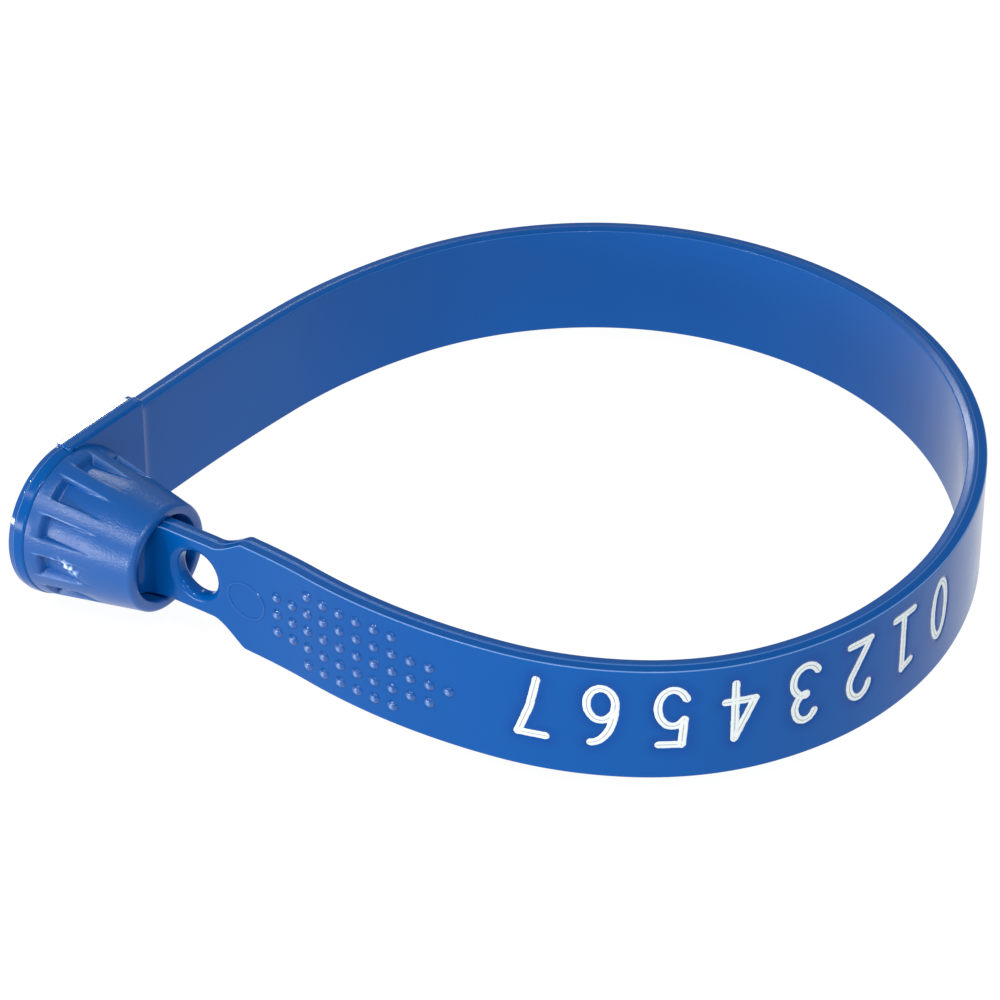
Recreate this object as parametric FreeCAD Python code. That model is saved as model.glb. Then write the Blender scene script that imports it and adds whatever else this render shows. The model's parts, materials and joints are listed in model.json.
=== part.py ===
import FreeCAD, Part
import math
import os
from FreeCAD import Placement, Rotation, Vector

# A one-piece plastic leg band that is locked into a loop. All sizes are in millimetres.
# The origin is the middle of the loop, at half the band's height, and +Z runs up through the loop.

# ---- strap ----
BAND_WIDTH = 9.5
BAND_THICKNESS = 1.53
EDGE_CROWN = 0.12            # the parting line stands this far proud along both edges
HINGE_GAP = 0.24             # clearance where the strap is cut so that it can bend
PLAIN_SPAN = 13.1            # length of each span with no number on it
PLAIN_TURNS = (4.5, 17.0, 26.5, 29.0, 25.5, 24.5, 22.0, 21.0)
NUMBER_SPAN = 9.76           # length of each span that carries two figures
NUMBER_TURNS = (18.5, 22.0, 26.5, 21.0)
GRIP_RUNS = ((8.6, 10.0), (8.0, 9.5), (8.0, -8.0))   # length and turn of the grip's three bends

# ---- socket head, in its own frame: X along the socket, Y along the plate, Z up ----
SOCKET_X = -33.3             # the cap's outer face, on the socket's axis
SOCKET_Y = -8.9
SOCKET_HEADING = -35.8       # degrees from +X to the way out of the socket's mouth
FLANGE_RADIUS = 6.15
PLATE_LENGTH = 8.6           # from the socket's axis to the plate's end
PLATE_HALF_HEIGHT = 6.4      # the square part stands a little proud of the round flange
PLATE_FRONT = 1.42
CAP_THICKNESS = 0.45
CAP_INSET = 0.08             # the cap is this much smaller than the flange all round
BELL_BASE_RADIUS = 5.95
BELL_MOUTH_RADIUS = 4.3
BELL_LENGTH = 10.46
LIP_ROUNDING = 0.38
MOUTH_RADIUS = 3.45
CHAMBER_RADIUS = 4.2
CHAMBER_END = 6.4
POCKET_COUNT = 11
POCKET_FLOOR_RADIUS = 5.0
POCKET_ANGLE = 18.7
POCKET_START = 2.6
FIRST_RIB_ANGLE = 47.5       # one rib's middle, round the axis from straight up
ROOT_OFFSET = -0.5           # the strap's centre line beside the cap's outer face
RAMP_LENGTH = 1.8            # where the plate thins down to the strap

# ---- lock ----
RING_THICKNESS = 0.5
RING_HOLE_RADIUS = 3.45
CAP_TUBE_WALL = 0.5
SEAT_CLEARANCE = 0.05
FINGER_COUNT = 6
FINGER_ANGLE = 38.0
FINGER_THICKNESS = 0.25
FINGER_TIP_RADIUS = 2.1
FINGER_TIP_X = 4.2

# ---- tail: grip, eyelet neck and plug ----
NECK_HALF_HEIGHT = 3.2
NECK_END = 16.2              # where the neck widens into the grip
SHOULDER_LENGTH = 2.5
EYELET_X = 13.75
EYELET_RADIUS = 1.9
PLUG_TIP_X = 1.3
PLUG_TIP_RADIUS = 1.0
BARB_X = 3.9
BARB_RADIUS = 2.85
BARB_LAND = 0.3              # the barb's short straight rim
STEM_RADIUS = 1.5
COLLAR_BACK = 7.6
COLLAR_FRONT = 8.8
COLLAR_RADIUS = 3.2
COLLAR_TAPER = 0.8           # the stem flares out to the collar over this length
DOT_PITCH_ALONG = 1.57
DOT_PITCH_ACROSS = 1.52
DOT_RADIUS = 0.5
DOT_HEIGHT = 0.28
DOT_LIFT = 0.003             # keeps the domes' flat bases off the hollow stretch of the grip
DOT_COLUMNS = (3, 3, 5, 5, 5, 5, 5, 5, 3, 3, 1)
FIRST_DOT_COLUMN = 7.93      # from the eyelet's centre, along the tail

# ---- number ----
NUMBER = "01234567"
FIGURE_PITCH = 4.88
FIGURE_HEIGHT = 4.7
FIGURE_WIDTH = 2.0
FIGURE_STROKE = 0.8
FIGURE_RAISE = 0.6           # the row of figures sits a little above the middle of the strap
FILM_DEPTH = 0.1
FILM_LOW = -3.2              # the figures lie between these two heights on the strap
FILM_HIGH = 4.3

UP = Vector(0, 0, 1)
HALF = BAND_THICKNESS / 2

# Each figure is a pen stroke through a few points on a unit square, from its bottom left corner.
STROKES = {
    "0": ((0, 0.2), (0, 0.8), (0.25, 1), (0.75, 1), (1, 0.8), (1, 0.2), (0.75, 0), (0.25, 0), (0, 0.2)),
    "1": ((0.2, 0.75), (0.6, 1), (0.6, 0)),
    "2": ((0, 0.8), (0.25, 1), (0.75, 1), (1, 0.8), (1, 0.6), (0, 0), (1, 0)),
    "3": ((0, 0.9), (0.7, 1), (1, 0.8), (0.9, 0.58), (0.4, 0.53), (1, 0.42), (1, 0.15), (0.7, 0), (0, 0.1)),
    "4": ((0.75, 0), (0.75, 1), (0, 0.3), (1, 0.3)),
    "5": ((1, 1), (0.1, 1), (0, 0.55), (0.7, 0.62), (1, 0.4), (1, 0.2), (0.7, 0), (0, 0.05)),
    "6": ((0.9, 1), (0.3, 0.85), (0, 0.4), (0.1, 0.1), (0.5, 0), (1, 0.15), (0.95, 0.45), (0.5, 0.57),
          (0.05, 0.4)),
    "7": ((0, 1), (1, 1), (0.35, 0)),
}


class Stretch:
    """A straight or evenly curved length of the strap's centre line; a positive turn is clockwise."""

    def __init__(self, start, heading, length, turn):
        self.start = start
        self.heading = heading
        self.length = length
        self.turn = turn

    def point(self, distance):
        angle = math.radians(self.heading)
        ahead = Vector(math.cos(angle), math.sin(angle), 0)
        if self.turn == 0:
            return self.start + ahead * distance
        radius = self.length / math.radians(self.turn)
        right = Vector(math.sin(angle), -math.cos(angle), 0)
        swept = distance / radius
        return self.start + ahead * (radius * math.sin(swept)) + right * (radius * (1 - math.cos(swept)))

    def heading_at(self, distance):
        return self.heading - self.turn * distance / self.length

    def part(self, first, last):
        share = (last - first) / self.length
        return Stretch(self.point(first), self.heading_at(first), last - first, self.turn * share)

    def sweep(self, section):
        """Sweep a closed outline of (outward, up) points along this stretch."""
        angle = math.radians(self.heading)
        right = Vector(math.sin(angle), -math.cos(angle), 0)
        points = [self.start - right * outward + UP * up for outward, up in section]
        face = Part.Face(Part.makePolygon(points + points[:1]))
        if self.turn == 0:
            return face.extrude(Vector(math.cos(angle), math.sin(angle), 0) * self.length)
        centre = self.start + right * (self.length / math.radians(self.turn))
        return face.revolve(centre, UP, -self.turn)

    def outward_placement(self, distance):
        """Local X runs along the strap, local Y up, and local Z out of the outer face."""
        outward = self.heading_at(distance) + 90
        turn = Rotation(UP, outward + 90).multiply(Rotation(Vector(1, 0, 0), 90))
        return Placement(self.point(distance), turn)


def strap_section():
    top = BAND_WIDTH / 2
    edge = top - EDGE_CROWN
    return ((-HALF, -edge), (0, -top), (HALF, -edge), (HALF, edge), (0, top), (-HALF, edge))


def box_section(inner, outer, bottom, top):
    return ((inner, bottom), (outer, bottom), (outer, top), (inner, top))


def centre_line():
    """The strap in the socket's frame. The straight root is as long as the loop needs to close."""
    bends = [(PLAIN_SPAN, turn) for turn in PLAIN_TURNS]
    bends += [(NUMBER_SPAN, turn) for turn in NUMBER_TURNS]
    bends += list(GRIP_RUNS)
    trial = chain(Vector(ROOT_OFFSET, PLATE_LENGTH, 0), bends)
    root_length = -trial[-1].point(trial[-1].length).y
    root = Stretch(Vector(ROOT_OFFSET, PLATE_LENGTH, 0), 90.0, root_length, 0)
    return root, chain(root.point(root_length), bends)


def chain(start, bends):
    stretches = []
    heading = 90.0
    for length, turn in bends:
        stretches.append(Stretch(start, heading, length, turn))
        start = stretches[-1].point(length)
        heading = heading - turn
    return stretches


def revolved(profile):
    """Turn a closed outline of (x, radius) points about the socket's axis."""
    points = [Vector(x, 0, radius) for x, radius in profile]
    face = Part.Face(Part.makePolygon(points + points[:1]))
    return face.revolve(Vector(0, 0, 0), Vector(1, 0, 0), 360)


def tube(start, end, radius):
    return Part.makeCylinder(radius, end - start, Vector(start, 0, 0), Vector(1, 0, 0))


def plate_outline(start, end, inset):
    """A slab with one round end, centred on the socket, that runs out to the strap."""
    half_height = PLATE_HALF_HEIGHT - inset
    slab = Part.makeBox(end - start, PLATE_LENGTH - inset, 2 * half_height, Vector(start, 0, -half_height))
    return tube(start, end, FLANGE_RADIUS - inset).fuse(slab).removeSplitter()


def make_rear_cap():
    plug_in = tube(CAP_THICKNESS, CHAMBER_END - RING_THICKNESS, CHAMBER_RADIUS - SEAT_CLEARANCE)
    bore = tube(CAP_THICKNESS, CHAMBER_END, CHAMBER_RADIUS - CAP_TUBE_WALL)
    cap = plate_outline(0, CAP_THICKNESS, CAP_INSET)
    return cap.fuse(plug_in.cut(bore)).removeSplitter()


def make_flange_plate():
    plate = plate_outline(CAP_THICKNESS, PLATE_FRONT, 0)
    return plate.cut(tube(0, BELL_LENGTH, CHAMBER_RADIUS))


def make_strap_root(root):
    """The strap's first straight length, which is thicker where it runs into the plate."""
    strap = root.part(0, root.length - HINGE_GAP / 2).sweep(strap_section())
    edge = BAND_WIDTH / 2 - EDGE_CROWN
    inner = root.start.x + HALF
    ramp = [Vector(inner, PLATE_LENGTH, -edge), Vector(PLATE_FRONT, PLATE_LENGTH, -edge),
            Vector(inner, PLATE_LENGTH + RAMP_LENGTH, -edge)]
    wedge = Part.Face(Part.makePolygon(ramp + ramp[:1])).extrude(UP * (2 * edge))
    return strap.fuse(wedge).removeSplitter()


def make_socket_bell():
    lip = LIP_ROUNDING
    soft = lip * (1 - math.sin(math.radians(45)))
    slope = (BELL_BASE_RADIUS - BELL_MOUTH_RADIUS) / (BELL_LENGTH - PLATE_FRONT)
    profile = ((PLATE_FRONT, CHAMBER_RADIUS), (PLATE_FRONT, BELL_BASE_RADIUS),
               (BELL_LENGTH - lip, BELL_MOUTH_RADIUS + slope * lip),
               (BELL_LENGTH - soft, BELL_MOUTH_RADIUS - soft),
               (BELL_LENGTH, BELL_MOUTH_RADIUS - lip),
               (BELL_LENGTH, MOUTH_RADIUS), (CHAMBER_END, MOUTH_RADIUS), (CHAMBER_END, CHAMBER_RADIUS))
    bell = revolved(profile)
    for index in range(POCKET_COUNT):
        bell = bell.cut(make_pocket(FIRST_RIB_ANGLE + 360.0 * (index + 0.5) / POCKET_COUNT))
    return bell


def make_pocket(angle):
    """A flute round the bell: its floor runs parallel to the axis, so it fades out up the cone."""
    outer = BELL_BASE_RADIUS + 1
    profile = [Vector(POCKET_START, 0, POCKET_FLOOR_RADIUS), Vector(BELL_LENGTH, 0, POCKET_FLOOR_RADIUS),
               Vector(BELL_LENGTH, 0, outer), Vector(POCKET_START, 0, outer)]
    face = Part.Face(Part.makePolygon(profile + profile[:1]))
    face.rotate(Vector(0, 0, 0), Vector(1, 0, 0), angle - POCKET_ANGLE / 2)
    return face.revolve(Vector(0, 0, 0), Vector(1, 0, 0), POCKET_ANGLE)


def make_lock_ring():
    start = CHAMBER_END - RING_THICKNESS
    ring = tube(start, CHAMBER_END, CHAMBER_RADIUS - SEAT_CLEARANCE)
    return ring.cut(tube(start, CHAMBER_END, RING_HOLE_RADIUS))


def make_lock_fingers():
    """Spring fingers that lean back from the ring's hole and catch behind the plug's barb."""
    root_x = CHAMBER_END - RING_THICKNESS
    profile = [Vector(root_x, 0, RING_HOLE_RADIUS), Vector(root_x + FINGER_THICKNESS, 0, RING_HOLE_RADIUS),
               Vector(FINGER_TIP_X + FINGER_THICKNESS, 0, FINGER_TIP_RADIUS),
               Vector(FINGER_TIP_X, 0, FINGER_TIP_RADIUS)]
    face = Part.Face(Part.makePolygon(profile + profile[:1]))
    fingers = []
    for index in range(FINGER_COUNT):
        blade = face.copy()
        blade.rotate(Vector(0, 0, 0), Vector(1, 0, 0), 360.0 * index / FINGER_COUNT)
        fingers.append(blade.revolve(Vector(0, 0, 0), Vector(1, 0, 0), FINGER_ANGLE))
    return Part.makeCompound(fingers)


def make_lock_plug():
    profile = ((PLUG_TIP_X, 0), (PLUG_TIP_X, PLUG_TIP_RADIUS), (BARB_X - BARB_LAND, BARB_RADIUS),
               (BARB_X, BARB_RADIUS),
               (BARB_X, STEM_RADIUS), (COLLAR_BACK - COLLAR_TAPER, STEM_RADIUS),
               (COLLAR_BACK, COLLAR_RADIUS),
               (COLLAR_FRONT, COLLAR_RADIUS), (COLLAR_FRONT, 0))
    return revolved(profile)


def make_neck_eyelet():
    neck = Part.makeBox(NECK_END - COLLAR_FRONT, BAND_THICKNESS, 2 * NECK_HALF_HEIGHT,
                        Vector(COLLAR_FRONT, -HALF, -NECK_HALF_HEIGHT))
    foot = Vector(EYELET_X, -BAND_THICKNESS, 0)
    hole = Part.makeCylinder(EYELET_RADIUS, 2 * BAND_THICKNESS, foot, Vector(0, 1, 0))
    return neck.cut(hole)


def make_grip_tab(runs):
    """The stiff end of the strap, from the last hinge to the shoulder above the neck."""
    first = runs[0].part(HINGE_GAP / 2, runs[0].length)
    end = runs[-1].point(runs[-1].length)
    straight = Stretch(end, 180.0, end.x - NECK_END, 0)
    solids = [run.sweep(strap_section()) for run in [first] + runs[1:] + [straight]]
    tab = solids[0].multiFuse(solids[1:])
    near = -2 * BAND_THICKNESS
    shoulder_end = NECK_END + SHOULDER_LENGTH
    for side in (1, -1):
        corner = [Vector(NECK_END, near, side * NECK_HALF_HEIGHT),
                  Vector(NECK_END, near, side * BAND_WIDTH),
                  Vector(shoulder_end, near, side * BAND_WIDTH),
                  Vector(shoulder_end, near, side * BAND_WIDTH / 2)]
        tab = tab.cut(Part.Face(Part.makePolygon(corner + corner[:1])).extrude(Vector(0, -2 * near, 0)))
    return tab.removeSplitter()


def locate(stretches, distance_from_end):
    """The stretch that holds a place, and the distance along that stretch."""
    for stretch in reversed(stretches):
        if distance_from_end <= stretch.length:
            return stretch, stretch.length - distance_from_end
        distance_from_end -= stretch.length
    raise ValueError("the place lies past the strap's root")


def make_grip_dots(stretches):
    """Rows of low domes on the grip's outer face. Each is the top slice of a ball."""
    ball_radius = (DOT_RADIUS ** 2 + DOT_HEIGHT ** 2) / (2 * DOT_HEIGHT)
    sunk = ball_radius - DOT_HEIGHT
    latitude = math.degrees(math.asin(sunk / ball_radius))
    tail_straight = stretches[-1].point(stretches[-1].length).x - EYELET_X
    dots = []
    for column, count in enumerate(DOT_COLUMNS):
        along = FIRST_DOT_COLUMN + column * DOT_PITCH_ALONG - tail_straight
        stretch, distance = locate(stretches, along)
        place = stretch.outward_placement(distance)
        for row in range(count):
            up = (row - (count - 1) / 2) * DOT_PITCH_ACROSS
            dot = Part.makeSphere(ball_radius, Vector(0, up, HALF + DOT_LIFT - sunk), UP, latitude, 90, 360)
            dot.Placement = place.multiply(dot.Placement)
            dots.append(dot)
    return Part.makeCompound(dots)


def make_figure(character, place):
    """A pen-stroke figure, upside down, as a block that stands through the strap's outer face."""
    deep = BAND_THICKNESS * 0.6
    corners = []
    for across, up in STROKES[character]:
        x = (0.5 - across) * FIGURE_WIDTH
        y = (0.5 - up) * FIGURE_HEIGHT + FIGURE_RAISE
        corners.append(Vector(x, y, HALF - deep / 2))
    pens = [Part.makeCylinder(FIGURE_STROKE / 2, deep, corner) for corner in corners]
    for here, there in zip(corners, corners[1:]):
        run = there - here
        side = Vector(-run.y, run.x, 0).normalize() * (FIGURE_STROKE / 2)
        edge = [here - side, there - side, there + side, here + side]
        pens.append(Part.Face(Part.makePolygon(edge + edge[:1])).extrude(Vector(0, 0, deep)))
    figure = pens[0].multiFuse(pens[1:])
    figure.Placement = place.multiply(figure.Placement)
    return figure


def make_numbers(stretches, spans):
    """Inlaid white films. Each is cut from a thin layer of its span, so that it fits its recess."""
    tail_straight = stretches[-1].point(stretches[-1].length).x - EYELET_X
    grip_length = sum(length for length, turn in GRIP_RUNS)
    films = {}
    for index, character in enumerate(reversed(NUMBER)):
        along = grip_length + FIGURE_PITCH * (index + 0.5)
        stretch, distance = locate(stretches, along)
        layer = stretch.sweep(box_section(HALF - FILM_DEPTH, HALF, FILM_LOW, FILM_HIGH))
        block = make_figure(character, stretch.outward_placement(distance))
        film = layer.common(block)
        number = stretches.index(stretch)
        spans[number] = spans[number].cut(film)
        films["figure_%d" % (len(NUMBER) - index)] = film
    return films


def main():
    root, stretches = centre_line()
    hinged = stretches[:-len(GRIP_RUNS)]
    spans = []
    for stretch in hinged:
        spans.append(stretch.part(HINGE_GAP / 2, stretch.length - HINGE_GAP / 2).sweep(strap_section()))
    films = make_numbers(stretches, spans)
    tab = make_grip_tab(stretches[len(hinged):])
    parts = {
        "rear_cap": make_rear_cap(),
        "flange_plate": make_flange_plate(),
        "strap_root": make_strap_root(root),
        "socket_bell": make_socket_bell(),
        "lock_ring": make_lock_ring(),
        "lock_fingers": make_lock_fingers(),
        "lock_plug": make_lock_plug(),
        "neck_eyelet": make_neck_eyelet(),
        "grip_tab": tab,
        "grip_dots": make_grip_dots(stretches),
    }
    for number, span in enumerate(spans, 1):
        parts["strap_span_%02d" % number] = span
    parts.update(films)

    head = Placement(Vector(SOCKET_X, SOCKET_Y, 0), Rotation(UP, SOCKET_HEADING))
    os.makedirs("parts", exist_ok=True)
    for name, shape in parts.items():
        shape.Placement = head.multiply(shape.Placement)
        shape.exportStep("parts/%s.step" % name)
        facts = (name, len(shape.Solids), shape.Volume, shape.isValid())
        print("%-14s solids %2d volume %8.3f valid %s" % facts)
    print("root length %.3f" % root.length)
    for number, stretch in enumerate(stretches[:len(hinged) + 1], 1):
        place = head.multVec(stretch.start)
        print("hinge %2d at %.4f %.4f" % (number, place.x, place.y))


main()
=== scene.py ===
import json
import math
import bmesh
import bpy
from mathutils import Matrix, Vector, noise


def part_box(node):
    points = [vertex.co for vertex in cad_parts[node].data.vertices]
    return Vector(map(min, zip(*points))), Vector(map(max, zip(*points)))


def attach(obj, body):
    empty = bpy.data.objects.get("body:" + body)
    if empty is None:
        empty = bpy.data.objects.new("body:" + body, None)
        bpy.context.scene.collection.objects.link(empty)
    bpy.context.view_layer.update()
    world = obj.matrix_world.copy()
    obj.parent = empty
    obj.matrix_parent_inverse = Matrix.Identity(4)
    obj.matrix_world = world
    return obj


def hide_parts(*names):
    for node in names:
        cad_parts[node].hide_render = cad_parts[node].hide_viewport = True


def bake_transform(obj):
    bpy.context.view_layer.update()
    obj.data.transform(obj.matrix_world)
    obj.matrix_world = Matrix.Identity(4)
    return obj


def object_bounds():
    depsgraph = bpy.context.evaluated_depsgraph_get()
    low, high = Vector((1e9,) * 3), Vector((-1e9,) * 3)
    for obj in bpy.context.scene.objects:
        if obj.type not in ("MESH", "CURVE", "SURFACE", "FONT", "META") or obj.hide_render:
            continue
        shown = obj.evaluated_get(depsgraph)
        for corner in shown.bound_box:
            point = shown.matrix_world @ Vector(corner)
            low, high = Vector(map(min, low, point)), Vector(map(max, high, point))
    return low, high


# The looks of a plastic leg band that is locked into a loop. Lengths are in millimetres until a mesh is
# made. The strap is shaped flat, as (distance along it, outward, up), and then bent round the loop.

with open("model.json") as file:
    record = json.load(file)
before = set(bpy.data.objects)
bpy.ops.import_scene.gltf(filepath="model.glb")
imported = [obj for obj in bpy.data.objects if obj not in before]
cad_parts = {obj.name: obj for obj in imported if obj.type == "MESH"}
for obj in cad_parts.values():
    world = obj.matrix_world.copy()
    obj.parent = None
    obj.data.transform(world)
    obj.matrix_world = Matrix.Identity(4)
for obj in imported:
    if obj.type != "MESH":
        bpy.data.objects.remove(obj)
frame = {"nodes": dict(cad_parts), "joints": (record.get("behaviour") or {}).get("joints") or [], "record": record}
cad_low, cad_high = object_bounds()
record = frame["record"]
joints = frame["joints"]

MM = 0.001

# ---- strap, as in the CAD model ----
GRIP_RUNS = ((8.6, 10.0), (8.0, 9.5), (8.0, -8.0))
PLATE_LENGTH = 8.6
ROOT_OFFSET = -0.5
NECK_HALF_HEIGHT = 3.2
NECK_START = 8.8
NECK_LIFT = 0.26             # the neck rides this much high in the socket's mouth
EYELET_X = 13.75
SHOULDER_FOOT = 1.8          # from the eyelet's centre, along the tail
SHOULDER_LENGTH = 2.6
ROOT_OVERLAP = 0.9           # how far the strap runs in behind the plate's end
GRIP_START = 3.4             # from the last hinge to where the grip's own piece begins
CORNER = 0.1                 # rounding of the strap's long edges
EDGE_DROP = 0.1              # how far the edge falls away from the parting line
STEP = 0.4                   # ring spacing along the strap
FINE_STEP = 0.14             # spacing where the number is stamped
SHARP_ANGLE = 42             # corners sharper than this keep a crisp edge

# ---- head ----
FLANGE_RADIUS = 6.15
PLATE_HALF_HEIGHT = 6.4      # the square part is a little taller than the round flange
PLATE_CORNER = 0.45
CAP_THICKNESS = 0.45
CAP_INSET = 0.08
CAP_GAP = 0.03               # between the cap and the plate
PLATE_FRONT = 1.42
RAMP_LENGTH = 1.8
BELL_BASE_RADIUS = 5.95
BELL_MOUTH_RADIUS = 4.3
BELL_LENGTH = 10.46
BELL_LIP = 0.42              # rounding round the mouth
MOUTH_RADIUS = 3.45
CHAMBER_RADIUS = 4.2
CHAMBER_END = 6.4
POCKET_COUNT = 11
POCKET_FLOOR_RADIUS = 5.0
POCKET_ANGLE = 18.7
POCKET_SIDE = 1.6            # degrees over which a pocket's side falls away
POCKET_START = 2.6
POCKET_LEDGE = 0.4           # length of the step at a pocket's wide end
FIRST_RIB_ANGLE = 47.5
# A ragged patch on the bell with a small bump, painted near-white as a painted glint.
GLINT_X = 5.0
GLINT_ANGLE = 92
GLINT_LENGTH = 1.6
GLINT_SPREAD = 10             # degrees
GLINT_BUMP_HEIGHT = 0.16

# ---- dots ----
DOT_PITCH_ALONG = 1.57
DOT_PITCH_ACROSS = 1.52
DOT_RADIUS = 0.46
DOT_HEIGHT = 0.26
DOT_SIDES = 20
DOT_COLUMNS = (3, 3, 5, 5, 5, 5, 5, 5, 3, 3, 1)
FIRST_DOT_COLUMN = 7.93

# ---- number ----
NUMBER = "01234567"
FIGURE_PITCH = 4.88
FIGURE_HEIGHT = 4.75
FIGURE_WIDTH = 2.0
FIGURE_RAISE = 0.62
STROKE_HALF = 0.31
STROKE_FRAY = 0.04           # how uneven the foil's edges are
RECESS_DEPTH = 0.1
RECESS_SIDE = 0.2            # width of the slope down into the recess
RECESS_OVERLAP = 0.06        # how far that slope starts inside the foil's edge
# Width of the painted shade round a figure.
RECESS_SHADE_WIDTH = 1.1             # of the darker plastic round a figure

# ---- colours, in linear light ----
BLUE = (0.0, 0.078, 0.326)
BLUE_DRIFT = (0.001, 0.087, 0.351)
# Painted shade round the pressed-in figures.
BLUE_RECESS_SHADE = (0.0, 0.045, 0.26)
# Painted highlights on edges, lines and dome tips.
BLUE_HIGHLIGHT = (0.25, 0.42, 0.78)
# A near-white painted glint on the bell.
BLUE_GLINT = (0.75, 0.88, 1.0)
FOIL_WHITE = (0.8, 0.86, 0.87)
FOIL_MOTTLE = (0.7, 0.76, 0.78)
# Painted shade in each stroke's groove.
FOIL_GROOVE_SHADE = (0.22, 0.28, 0.31)
STEEL_DARK = (0.52, 0.53, 0.55)
STEEL_LIGHT = (0.68, 0.69, 0.7)

# ---- camera and floor, in metres, degrees and the lens's millimetres ----
CAMERA_DISTANCE = 0.323
CAMERA_ELEVATION = 33.66
CAMERA_LENS = 148.3
FLOOR_GAP = 0.0002
FLOOR_HALF_SIZE = 3.0

# Each light's name, azimuth, elevation, distance, width, height and power, in degrees, metres and watts.
# The small spots make the highlights, and the strip shines on the flat tops.
LIGHTS = (
    ("key", -30, 48, 0.9, 0.3, 0.3, 0.6),
    ("left_spot", -60, 44, 0.9, 0.05, 0.05, 1.6),
    ("right_spot", 8, 55, 0.9, 0.05, 0.05, 2.1),
    ("low_spot", -25, 17, 0.9, 0.05, 0.05, 0.7),
    ("far_spot", 42, 36, 0.9, 0.05, 0.05, 0.9),
    ("left_box", -62, 3, 0.7, 0.4, 0.08, 2.0),
    ("back_strip", 186, 33.3, 1.0, 0.17, 0.045, 0.85),
)


# ------------------------------------------------------------------ the strap's path

def mount(name):
    return next(m for m in record["mounts"] if m["name"] == name)


def flat_vector(values):
    return Vector((values[0] / MM, values[1] / MM, 0))


CAP_CENTRE = flat_vector(mount("rear_face")["pos_m"])
SOCKET_OUT = -Vector(mount("rear_face")["axis"])
PLATE_OUT = Vector((-SOCKET_OUT.y, SOCKET_OUT.x, 0))
UP = Vector((0, 0, 1))
HALF = mount("eyelet")["dims"]["length_mm"] / 2
EYELET_RADIUS = mount("eyelet")["dims"]["r_mm"]
HALF_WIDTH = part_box("strap_span_01")[1].z / MM
HINGES = [flat_vector(joint["pos_m"]) for joint in joints]


def in_socket(x, y, z):
    return CAP_CENTRE + SOCKET_OUT * x + PLATE_OUT * y + UP * z


class Run:
    """A straight or evenly curved length of the centre line. A positive turn is clockwise."""

    def __init__(self, start, heading, length, turn):
        self.start = start
        self.heading = heading
        self.length = length
        self.turn = turn

    def point(self, distance):
        ahead = Vector((math.cos(self.heading), math.sin(self.heading), 0))
        right = Vector((ahead.y, -ahead.x, 0))
        if abs(self.turn) < 1e-9:
            return self.start + ahead * distance
        radius = self.length / self.turn
        swept = distance / radius
        return self.start + ahead * (radius * math.sin(swept)) + right * (radius * (1 - math.cos(swept)))

    def heading_at(self, distance):
        return self.heading - self.turn * distance / self.length


def run_to(start, heading, end):
    """The one arc that leaves start along heading and reaches end."""
    chord = end - start
    half_turn = heading - math.atan2(chord.y, chord.x)
    half_turn = (half_turn + math.pi) % (2 * math.pi) - math.pi
    if abs(half_turn) < 1e-6:
        return Run(start, heading, chord.length, 0)
    return Run(start, heading, chord.length * half_turn / math.sin(half_turn), 2 * half_turn)


def strap_runs():
    start = in_socket(ROOT_OFFSET, PLATE_LENGTH, 0)
    heading = math.atan2(PLATE_OUT.y, PLATE_OUT.x)
    runs = []
    for hinge in HINGES:
        runs.append(run_to(start, heading, hinge))
        start, heading = hinge, runs[-1].heading_at(runs[-1].length)
    for length, turn in GRIP_RUNS:
        runs.append(Run(start, heading, length, math.radians(turn)))
        start, heading = runs[-1].point(length), runs[-1].heading_at(length)
    runs.append(Run(start, heading, (start - in_socket(0, 0, 0)).length, 0))
    return runs


RUNS = strap_runs()
HINGE_AT = [sum(run.length for run in RUNS[:number]) for number in range(1, len(HINGES) + 1)]
EYELET_AT = HINGE_AT[-1] + sum(length for length, turn in GRIP_RUNS) + RUNS[-1].length - EYELET_X


def centre_at(along):
    """The centre line's point and heading at a distance along the strap."""
    for run in RUNS:
        if along <= run.length or run is RUNS[-1]:
            return run.point(along), run.heading_at(along)
        along -= run.length


def bend(point):
    """From (along, outward, up) on the flat strap to the place in the loop."""
    along, outward, up = point
    centre, heading = centre_at(along)
    return centre + Vector((-math.sin(heading), math.cos(heading), 0)) * outward + UP * up


# ------------------------------------------------------------------ mesh helpers

def add_piece(name, points, faces, material, marks=None):
    """A closed mesh in metres, smooth except across its sharp corners."""
    mesh = bpy.data.meshes.new(name)
    mesh.from_pydata([tuple(point * MM) for point in points], [], faces)
    work = bmesh.new()
    work.from_mesh(mesh)
    bmesh.ops.recalc_face_normals(work, faces=work.faces)
    work.to_mesh(mesh)
    work.free()
    mesh.shade_smooth()
    mesh.set_sharp_from_angle(angle=math.radians(SHARP_ANGLE))
    for mark, values in (marks or {}).items():
        mesh.attributes.new(mark, "FLOAT", "POINT").data.foreach_set("value", values)
    mesh.materials.append(material)
    piece = bpy.data.objects.new(name, mesh)
    bpy.context.scene.collection.objects.link(piece)
    return piece


def skin(rings, first_cap=True, last_cap=True):
    """Faces between rings of equal point count, whose points are numbered one ring after another."""
    count = len(rings[0])
    faces = []
    for ring in range(len(rings) - 1):
        for index in range(count):
            after = (index + 1) % count
            faces.append((ring * count + index, ring * count + after,
                          (ring + 1) * count + after, (ring + 1) * count + index))
    if first_cap:
        faces.append(tuple(range(count))[::-1])
    if last_cap:
        faces.append(tuple(range((len(rings) - 1) * count, len(rings) * count)))
    return faces


def join_loops(near, far):
    """Faces between two closed loops of point numbers."""
    count = len(near)
    return [(near[index], near[(index + 1) % count], far[(index + 1) % count], far[index])
            for index in range(count)]


def torus_skin(rings):
    """Like skin, but the last ring joins the first."""
    count = len(rings[0])
    last = (len(rings) - 1) * count
    return skin(rings, False, False) + join_loops(range(last, last + count), range(count))


def flatten(rings):
    return [point for ring in rings for point in ring]


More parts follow.
